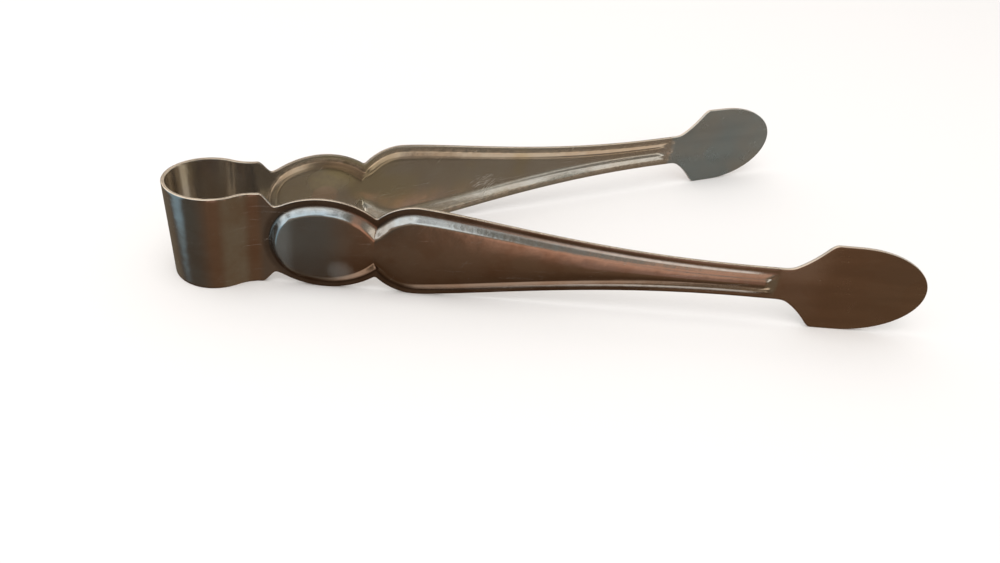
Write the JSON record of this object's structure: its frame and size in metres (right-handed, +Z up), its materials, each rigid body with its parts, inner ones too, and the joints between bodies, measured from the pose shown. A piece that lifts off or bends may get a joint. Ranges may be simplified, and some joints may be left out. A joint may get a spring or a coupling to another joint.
{
  "type": "kitchen tongs",
  "caption": "Sheet-metal bow tongs: a spring bow joins two splayed arms, each pressed with a round boss and a tapering panel and ending in a flat leaf-shaped tip.",
  "frame": {"origin": "on the ground under the middle of the tongs, which stand on the lower edges of the strip", "axes": "+X from the bow to the tips, +Y from the front arm to the rear arm, +Z up across the strip's width"},
  "size_m": [0.1636, 0.0796, 0.022],
  "materials": {
    "plated_sheet": "polished"
  },
  "bodies": {
    "bow_back": {"bow_back": "plated_sheet"},
    "front_bow_cheek": {"front_bow_cheek": "plated_sheet"},
    "front_arm": {"front_arm": "plated_sheet"},
    "rear_bow_cheek": {"rear_bow_cheek": "plated_sheet"},
    "rear_arm": {"rear_arm": "plated_sheet"}
  },
  "joints": [
    {"name": "front_bow_flex", "type": "hinge", "parent": "bow_back", "child": "front_bow_cheek", "pos_m": [-0.07914, -0.00601, 0.011], "axis": [0, 0, 1], "range_deg": [-1.5, 7.05], "stiffness_Nm_per_rad": 9},
    {"name": "front_arm_flex", "type": "hinge", "parent": "front_bow_cheek", "child": "front_arm", "pos_m": [-0.06713, -0.00743, 0.011], "axis": [0, 0, 1], "range_deg": [-1.5, 7.05], "stiffness_Nm_per_rad": 9},
    {"name": "rear_bow_flex", "type": "hinge", "parent": "bow_back", "child": "rear_bow_cheek", "pos_m": [-0.07914, 0.00601, 0.011], "axis": [0, 0, -1], "range_deg": [-1.5, 7.05], "stiffness_Nm_per_rad": 9},
    {"name": "rear_arm_flex", "type": "hinge", "parent": "rear_bow_cheek", "child": "rear_arm", "pos_m": [-0.06713, 0.00743, 0.011], "axis": [0, 0, -1], "range_deg": [-1.5, 7.05], "stiffness_Nm_per_rad": 9}
  ],
  "couplings": [
    {"joint": "front_arm_flex", "follows": "front_bow_flex", "ratio": 1},
    {"joint": "rear_arm_flex", "follows": "rear_bow_flex", "ratio": 1}
  ]
}
